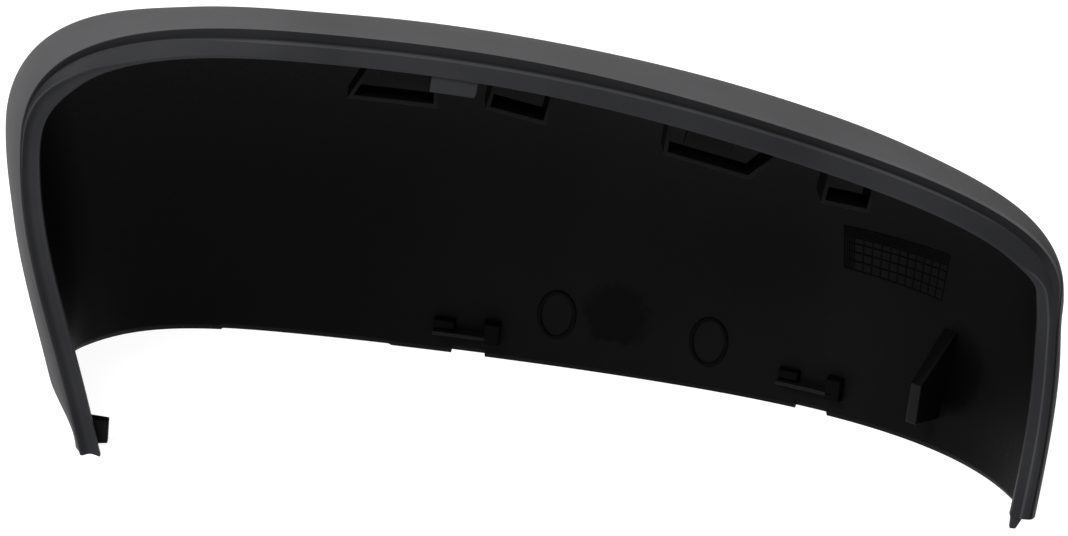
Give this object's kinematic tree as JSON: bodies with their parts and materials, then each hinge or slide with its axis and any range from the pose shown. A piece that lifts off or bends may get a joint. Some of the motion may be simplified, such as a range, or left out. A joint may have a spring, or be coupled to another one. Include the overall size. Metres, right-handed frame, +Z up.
{
  "type": "wing mirror cover",
  "caption": "Curved one-piece car door mirror cover, open at the rear and below, with a return flange round its rim and moulded clips inside.",
  "frame": {"origin": "middle of the part's box in X and Y, at the level of its lower edge", "axes": "+X along the cover from its tall left end to its low right end, +Y from the open rear into the shell, +Z up"},
  "size_m": [0.2428, 0.084, 0.1029],
  "materials": {
    "cover_plastic": "fine-grained satin black injection moulding, smoother on the outer skin"
  },
  "bodies": {
    "root": {"mirror_cover": "cover_plastic"}
  },
  "joints": []
}
